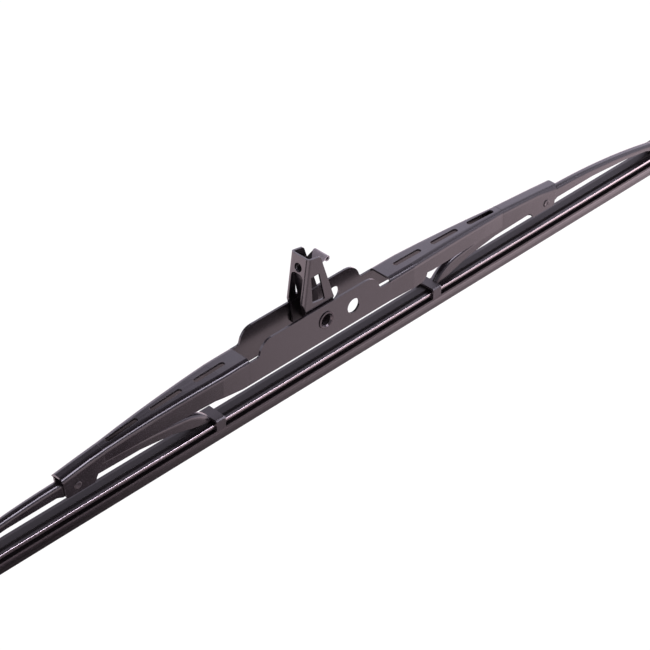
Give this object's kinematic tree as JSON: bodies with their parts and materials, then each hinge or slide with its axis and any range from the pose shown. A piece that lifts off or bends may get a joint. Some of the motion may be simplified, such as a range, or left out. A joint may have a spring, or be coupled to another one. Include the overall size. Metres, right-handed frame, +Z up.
{
  "type": "wiper blade",
  "caption": "Framed windscreen wiper blade: black steel bridge with a central window, fold-down arm clip, two rocking levers and a rubber element with steel rails.",
  "frame": {"origin": "middle of the bridge's empty pin hole", "axes": "+X along the blade, +Y across it along the pin hole, +Z up; the rubber lip points down"},
  "size_m": [0.432, 0.0128, 0.064],
  "materials": {
    "painted_steel": "satin",
    "rail_steel": "brushed",
    "rubber": "matte"
  },
  "bodies": {
    "bridge": {"bridge": "painted_steel", "clip_rivet": "rail_steel", "lever_rivet_left": "painted_steel", "lever_rivet_right": "painted_steel", "wiper_rubber": "rubber", "rail_near": "rail_steel", "rail_far": "rail_steel"},
    "lever_left": {"lever_left": "painted_steel"},
    "lever_right": {"lever_right": "painted_steel"},
    "arm_clip": {"arm_clip": "painted_steel", "clip_spring": "painted_steel"}
  },
  "joints": [
    {"name": "lever_left_pivot", "type": "hinge", "parent": "bridge", "child": "lever_left", "pos_m": [-0.1383, 0, -0.00965], "axis": [0, 1, 0], "range_deg": [-7.5, 7.5], "stiffness_Nm_per_rad": 0.5, "deforming": ["wiper_rubber", "rail_near", "rail_far"]},
    {"name": "lever_right_pivot", "type": "hinge", "parent": "bridge", "child": "lever_right", "pos_m": [0.1183, 0, -0.00965], "axis": [0, 1, 0], "range_deg": [-7.5, 7.5], "stiffness_Nm_per_rad": 0.5, "deforming": ["wiper_rubber", "rail_near", "rail_far"]},
    {"name": "clip_pivot", "type": "hinge", "parent": "bridge", "child": "arm_clip", "pos_m": [-0.015, 0, 0.001], "axis": [0, 1, 0], "range_deg": [-95, 95]}
  ]
}
